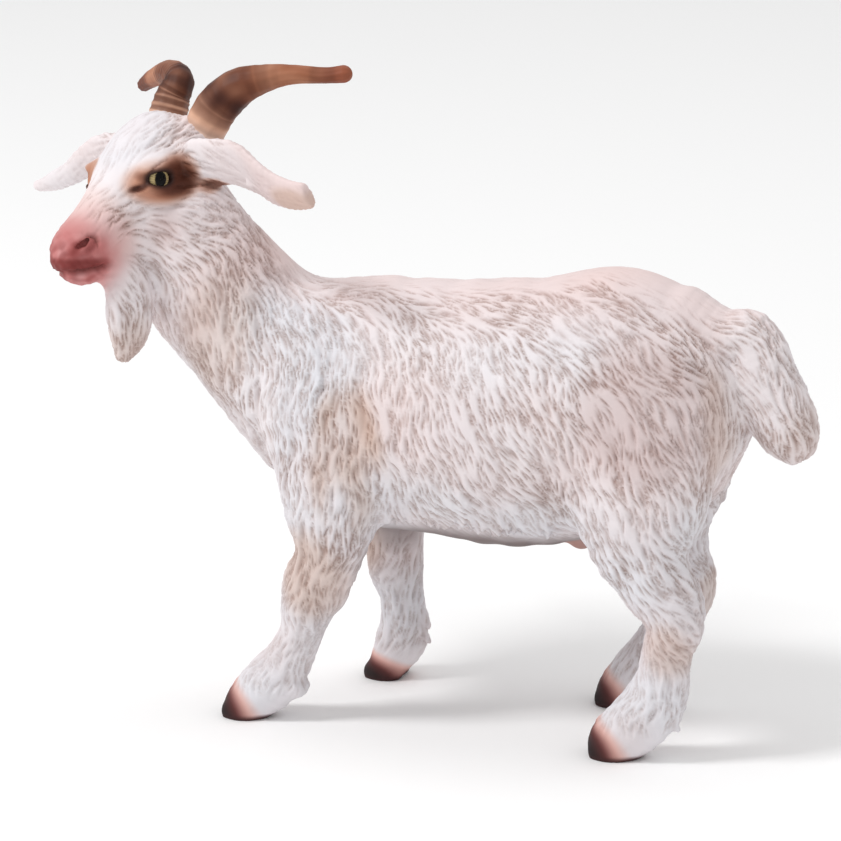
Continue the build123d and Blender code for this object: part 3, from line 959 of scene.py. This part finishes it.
def painted_plastic(name, rough=(0.5, 0.66), grain=900.0, mottle=0.05, bump=0.12, shine=0.25):
    """Painted plastic: the brushed colour, mottled a little, with an uneven sheen and a fine grain."""
    material, tree, shader = new_material(name)
    place = tree.nodes.new("ShaderNodeTexCoord")
    paint = tree.nodes.new("ShaderNodeAttribute")
    paint.attribute_name = "paint"
    cloud = noise_node(tree, 260.0, 6.0)
    link(tree, place, "Object", cloud, "Vector")
    shade = spread_node(tree, cloud, 1 - mottle, 1 + mottle * 0.6)
    tint = tree.nodes.new("ShaderNodeVectorMath")
    tint.operation = "SCALE"
    link(tree, paint, "Color", tint, "Vector")
    link(tree, shade, "Result", tint, "Scale")
    link(tree, tint, "Vector", shader, "Base Color")
    link(tree, spread_node(tree, cloud, *rough), "Result", shader, "Roughness")
    fine = noise_node(tree, grain, 4.0)
    link(tree, place, "Object", fine, "Vector")
    relief = tree.nodes.new("ShaderNodeBump")
    relief.inputs["Strength"].default_value = bump
    relief.inputs["Distance"].default_value = 0.0003
    link(tree, fine, "Fac", relief, "Height")
    link(tree, relief, "Normal", shader, "Normal")
    shader.inputs["Specular IOR Level"].default_value = shine
    return material


# ---- pieces ----


def cap_triangles(faces, points, normals, wall=0.6):
    """Closes each open rim of faces with a wall straight down into the body, and then a fan.

    Gives the triangles and the points that they add.
    """
    count = len(points)
    edges = np.stack([faces, np.roll(faces, -1, axis=1)], -1).reshape(-1, 2)
    there = edges[:, 0] * count + edges[:, 1]
    back = edges[:, 1] * count + edges[:, 0]
    rim = edges[~np.isin(there, back)]
    if not len(rim):
        return np.zeros((0, 3), int), np.zeros((0, 3))
    on_rim = np.unique(rim)
    sunk = dict(zip(on_rim.tolist(), range(count, count + len(on_rim))))
    root = {v: v for v in sunk}

    def find(v):
        while root[v] != v:
            root[v] = root[root[v]]
            v = root[v]
        return v

    for a, b in rim.tolist():
        root[find(a)] = find(b)
    rims = {}
    for a, b in rim.tolist():
        rims.setdefault(find(a), []).append((a, b))
    new_points = [points[on_rim] - normals[on_rim] * wall]
    triangles = []
    for k, loop in enumerate(rims.values()):
        centre = count + len(on_rim) + k
        new_points.append(points[[a for a, _ in loop]].mean(axis=0)[None])
        for a, b in loop:
            triangles += [(b, a, sunk[a]), (b, sunk[a], sunk[b]), (sunk[b], sunk[a], centre)]
    return np.array(triangles), np.concatenate(new_points)


def new_mesh(name, points, faces, triangles=None, normals=None, paint=None):
    """A piece made of smooth faces and flat triangles, with a normal and a colour for each point."""
    triangles = np.zeros((0, 3), int) if triangles is None else triangles
    mesh = bpy.data.meshes.new(name)
    mesh.vertices.add(len(points))
    mesh.vertices.foreach_set("co", (np.asarray(points, np.float32) * MM).ravel())
    loops = np.concatenate([faces.ravel(), triangles.ravel()]).astype(np.int32)
    starts = np.concatenate([
        np.arange(len(faces)) * faces.shape[1], faces.size + np.arange(len(triangles)) * 3
    ])
    mesh.loops.add(len(loops))
    mesh.loops.foreach_set("vertex_index", loops)
    mesh.polygons.add(len(starts))
    mesh.polygons.foreach_set("loop_start", starts.astype(np.int32))
    mesh.polygons.foreach_set("use_smooth", np.arange(len(starts)) < len(faces))
    mesh.update(calc_edges=True)
    if normals is not None:
        by_corner = normals[loops]
        by_corner[faces.size:] = 0
        mesh.normals_split_custom_set(by_corner.tolist())
    if paint is not None:
        layer = mesh.color_attributes.new("paint", "FLOAT_COLOR", "POINT")
        rgba = np.column_stack([linear(paint), np.ones(len(paint))])
        layer.data.foreach_set("color", rgba.astype(np.float32).ravel())
    piece = bpy.data.objects.new(name, mesh)
    bpy.context.scene.collection.objects.link(piece)
    return piece


def declare(piece, node):
    """The piece stands still, and takes the place of a CAD node."""
    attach(piece, "root")
    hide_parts(node)


NECK_SEAM = home(-20.5, 0, 46.5)
NECK_AXIS = unit((-0.75, 0, 0.66))


def piece_of_each_quad(goat, surface):
    """The CAD node that each quad of the coat belongs to."""
    centres = surface.rest[surface.quads].mean(axis=1).astype(np.float32)
    gaps = goat.part_distances(centres)
    names = np.where(centres[:, 1] < SPLIT_Y, "trunk_left_half", "trunk_right_half").astype("<U20")
    names[(centres - NECK_SEAM) @ NECK_AXIS > 0] = "head_with_neck"
    body = np.minimum.reduce([gaps["trunk"], gaps["neck"], gaps["head"]])
    for part in (*LEGS, "tail", "beard", "ear_left", "ear_right"):
        names[gaps[part] < body] = part
    return names


def dress(goat, surface):
    """Part the finished coat into its pieces."""
    normals = vertex_normals(surface.points, surface.quads)
    colour = paint_coat(surface)
    names = piece_of_each_quad(goat, surface)
    material = painted_plastic("painted_coat")
    for name in np.unique(names):
        chosen = surface.quads[names == name]
        kept, faces = np.unique(chosen, return_inverse=True)
        faces = faces.reshape(-1, 4)
        triangles, centres = cap_triangles(faces, surface.points[kept], normals[kept])
        spare = np.zeros((len(centres), 3))
        piece = new_mesh(
            "coat_" + name,
            np.vstack([surface.points[kept], centres]),
            faces,
            triangles,
            np.vstack([normals[kept], spare]),
            np.vstack([colour[kept], spare + WHITE]),
        )
        piece.data.materials.append(material)
        declare(piece, str(name))


# ---- horns and eyes ----


def ring_quads(rings, around):
    """Quads between rings of points, one ring after another."""
    first = np.arange(rings - 1)[:, None] * around
    here = first + np.arange(around)
    beside = first + (np.arange(around) + 1) % around
    return np.stack([here, beside, beside + around, here + around], -1).reshape(-1, 4)


def tube(rows, side, around, steps, relief, end_round=5):
    """Rings along a smooth path with a round end; relief(along, angle, share) moves each point out, in mm.

    Gives the points, the quads, and each point's share of the length and its place along it.
    """
    table = section_table(rows)
    path = along_rows(table, (len(table) - 1) * steps + 1)
    along = np.concatenate([[0], np.cumsum(np.linalg.norm(np.diff(path[:, :3], axis=0), axis=1))])
    ahead = unit_rows(np.gradient(path[:, :3], axis=0))
    tip = path[-1].copy()
    cap = [path]
    for k in range(1, end_round + 1):
        turn = k / end_round * math.pi / 2 * 0.98
        ring = tip.copy()
        ring[:3] += ahead[-1] * tip[3] * math.sin(turn)
        ring[3:] *= math.cos(turn)
        cap.append(ring[None])
    path = np.concatenate(cap)
    ahead = np.concatenate([ahead, np.repeat(ahead[-1:], end_round, axis=0)])
    along = np.concatenate([along, np.full(end_round, along[-1])])
    across = unit_rows(side - ahead * (ahead @ side)[:, None])
    up = np.cross(ahead, across)
    angle = np.arange(around) / around * 2 * math.pi
    share = along / along[-1]
    out = relief(along[:, None], angle[None], share[:, None])
    fade = (path[:, 3] / table[-1, 3]).clip(0, 1)[:, None]
    wide = path[:, 3:4] + out * fade
    deep = path[:, 4:5] + out * fade
    points = (
        path[:, None, :3]
        + across[:, None] * (np.cos(angle) * wide)[..., None]
        + up[:, None] * (np.sin(angle) * deep)[..., None]
    )
    quads = ring_quads(len(path), around)
    return points.reshape(-1, 3), quads, np.repeat(share, around), np.repeat(along, around)


HORN_BASE = tone(244, 220, 206)
HORN_TAN = tone(230, 182, 154)
HORN_BROWN = tone(146, 86, 58)
HORN_DARK = tone(56, 22, 12)
HORN_TIP = tone(146, 82, 58)


def make_horn(name, rows, side, pitch, height):
    """A horn with ridges round it, pitch apart and height high, that fade towards the tip."""
    shift = np.random.default_rng(SEED + 1).uniform(0, 1)

    def relief(along, angle, share):
        sway = 0.12 * np.sin(angle * 2 + along * 0.7)
        wave = along / pitch + sway + 0.1 * np.sin(angle * 3 + along * 1.9)
        ridge = 1 - np.abs(2 * ((wave + shift) % 1) - 1)
        strength = height * np.clip(1.25 - share * 1.3, 0.15, 1)
        grain = 0.03 * np.sin(angle * 9 + np.sin(along * 0.8) * 1.5)
        return (ridge ** 1.5 - 0.4) * strength + grain

    points, quads, share, along = tube(rows, np.array(side, float), 72, 26, relief)
    cloud = 0.5 + 0.5 * soft_noise(points, 2.0, 11)
    coat = Paint(HORN_BASE, len(points))
    coat.brush(HORN_TAN, smooth_step((share - 0.1) / 0.1))
    coat.brush(HORN_BROWN, smooth_step((share - 0.2) / 0.2) * (0.6 + 0.4 * cloud))
    coat.brush(HORN_DARK, np.exp(-(((share - 0.36) / 0.13) ** 2)) * (0.45 + 0.55 * cloud))
    coat.brush(HORN_TIP, smooth_step((share - 0.82) / 0.15))
    valley = smooth_step(-relief(along, 0.0, share) / 0.05 + 0.3)
    coat.brush(HORN_DARK, min(0.55, height * 3.5) * valley)
    normals = vertex_normals(points, quads)
    triangles, centres = cap_triangles(quads, points, normals, 0.05)
    return new_mesh(
        "ridged_" + name,
        np.vstack([points, centres]),
        quads,
        triangles,
        np.vstack([normals, centres * 0]),
        np.vstack([coat.colour, centres * 0 + HORN_TAN]),
    )


EYE_BACK = tone(70, 40, 32)
IRIS = tone(186, 166, 118)
IRIS_RIM = tone(30, 18, 14)
PUPIL = tone(6, 4, 4)
BALL_RADIUS = 1.62
IRIS_RADIUS = 1.36
RIM_RADIUS = 1.34
PUPIL_RADIUS = 0.86


def make_eye(name, centre, out):
    """A ball with a raised cornea, a pale amber iris and an upright oval pupil."""
    out = unit(out + HEAD_FORWARD * 0.3 + HEAD_CROWN * 0.12)
    rings, around = 40, 64
    level = SLANT_AXES[0]
    level = unit(level - out * np.dot(level, out))
    up = np.cross(out, level)
    turn = np.linspace(0.02, math.pi - 0.02, rings)
    angle = np.arange(around) / around * 2 * math.pi
    cornea = 0.10 * smooth_step((0.75 - turn) / 0.25)
    reach = (BALL_RADIUS + cornea)[:, None] * np.ones(around)[None]
    a = (np.sin(turn)[:, None] * np.cos(angle)) * reach
    b = (np.sin(turn)[:, None] * np.sin(angle)) * reach
    c = np.cos(turn)[:, None] * reach
    points = (centre + a[..., None] * level + b[..., None] * up + c[..., None] * out).reshape(-1, 3)
    quads = np.roll(ring_quads(rings, around)[:, ::-1], 1, axis=1)
    a, b = a.ravel(), b.ravel()
    off_middle = np.hypot(a, b)
    rays = (0.85 + 0.15 * np.sin(np.arctan2(b, a) * 23))[:, None]
    coat = Paint(EYE_BACK, len(points))
    coat.brush(IRIS * rays, smooth_step((IRIS_RADIUS - off_middle) / 0.1))
    coat.brush(IRIS_RIM, np.exp(-(((off_middle - RIM_RADIUS) / 0.12) ** 2)))
    coat.brush(PUPIL, smooth_step((PUPIL_RADIUS - np.hypot(a / 0.95, b / 1.25)) / 0.12))
    triangles, centres = cap_triangles(quads, points, vertex_normals(points, quads), 0.01)
    return new_mesh(
        name + "_ball",
        np.vstack([points, centres]),
        quads,
        triangles,
        None,
        np.vstack([coat.colour, np.tile(PUPIL, (len(centres), 1))]),
    )


# ---- camera, floor and light ----

AZIMUTH = math.radians(19)             # from the goat's left side towards its tail
ELEVATION = math.radians(15)
DISTANCE = 600.0                       # mm
VIEW_WIDTH = 105.125                   # mm across the view at the target
SENSOR_WIDTH = 36.0                    # mm
FLOOR_HALF = 3000.0                    # mm
# (name, place in metres, watts, width in metres) of the lights, which all point at the goat's middle.
LIGHTS = (
    ("key", (-0.38, -0.30, 0.60), 2.5, 0.16),
    ("top", (0.15, 0.2, 0.8), 0.8, 0.4),
)
LIT_POINT = np.array((0, 0, 0.04))


def make_camera():
    target = home(0.0, -1.3, 38.0)
    back = np.array([
        math.sin(AZIMUTH) * math.cos(ELEVATION),
        -math.cos(AZIMUTH) * math.cos(ELEVATION),
        math.sin(ELEVATION),
    ])
    camera = bpy.data.objects.new("camera", bpy.data.cameras.new("camera"))
    bpy.context.scene.collection.objects.link(camera)
    camera.location = Vector((target + back * DISTANCE) * MM)
    camera.rotation_euler = Vector(-back).to_track_quat("-Z", "Y").to_euler()
    camera.data.lens = SENSOR_WIDTH * DISTANCE / VIEW_WIDTH
    camera.data.clip_start = 0.01
    camera.data.clip_end = 10.0
    bpy.context.scene.camera = camera


def floor_material():
    material, tree, shader = new_material("studio_floor")
    cloud = noise_node(tree, 9.0, 2.0)
    link(tree, spread_node(tree, cloud, 0.95, 0.98), "Result", shader, "Base Color")
    link(tree, spread_node(tree, cloud, 0.75, 0.85), "Result", shader, "Roughness")
    return material


def make_floor():
    corners = np.array([(-1, -1, 0), (1, -1, 0), (1, 1, 0), (-1, 1, 0)]) * FLOOR_HALF
    floor = new_mesh("floor", corners, np.array([[0, 1, 2, 3]]))
    floor.data.materials.append(floor_material())


def make_light():
    world = bpy.data.worlds.new("studio")
    world.use_nodes = True
    sky = world.node_tree.nodes["Background"].inputs
    sky["Color"].default_value = (1, 1, 1, 1)
    sky["Strength"].default_value = 0.7
    bpy.context.scene.world = world
    bpy.context.scene.view_settings.view_transform = "Standard"
    for name, place, power, width in LIGHTS:
        light = bpy.data.lights.new(name, "AREA")
        light.energy = power
        light.size = width
        lamp = bpy.data.objects.new(name, light)
        bpy.context.scene.collection.objects.link(lamp)
        lamp.location = place
        lamp.rotation_euler = Vector(LIT_POINT - place).to_track_quat("-Z", "Y").to_euler()


# ---- the whole ----


def make_coat():
    goat = sculpt()
    low, high = np.array(cad_box) / MM
    surface = Surface(*goat.mesh(low - MARGIN, high + MARGIN))
    surface.points[:, 2] = np.maximum(surface.points[:, 2], 0)
    comb(surface)
    carve_face(surface)
    dress(goat, surface)


def make_horns():
    paint = painted_plastic("horn_paint", rough=(0.45, 0.6), grain=1400.0, mottle=0.16)
    for name, rows, side, pitch, height in (
        ("horn_left", HORN_LEFT, (0, 1, 0), 1.7, 0.07),
        ("horn_right", HORN_RIGHT, (1, 0, 0), 0.85, 0.12),
    ):
        horn = make_horn(name, rows, side, pitch, height)
        horn.data.materials.append(paint)
        declare(horn, name)


def make_eyes():
    gloss = painted_plastic("eye_gloss", (0.1, 0.16), grain=300.0, mottle=0.08, bump=0.01, shine=0.12)
    for name, centre, out in (("eye_left", EYE_LEFT, HEAD_LEFT), ("eye_right", EYE_RIGHT, -HEAD_LEFT)):
        eye = make_eye(name, centre, out)
        eye.data.materials.append(gloss)
        declare(eye, name)


make_camera()
make_floor()
make_light()
make_coat()
make_horns()
make_eyes()
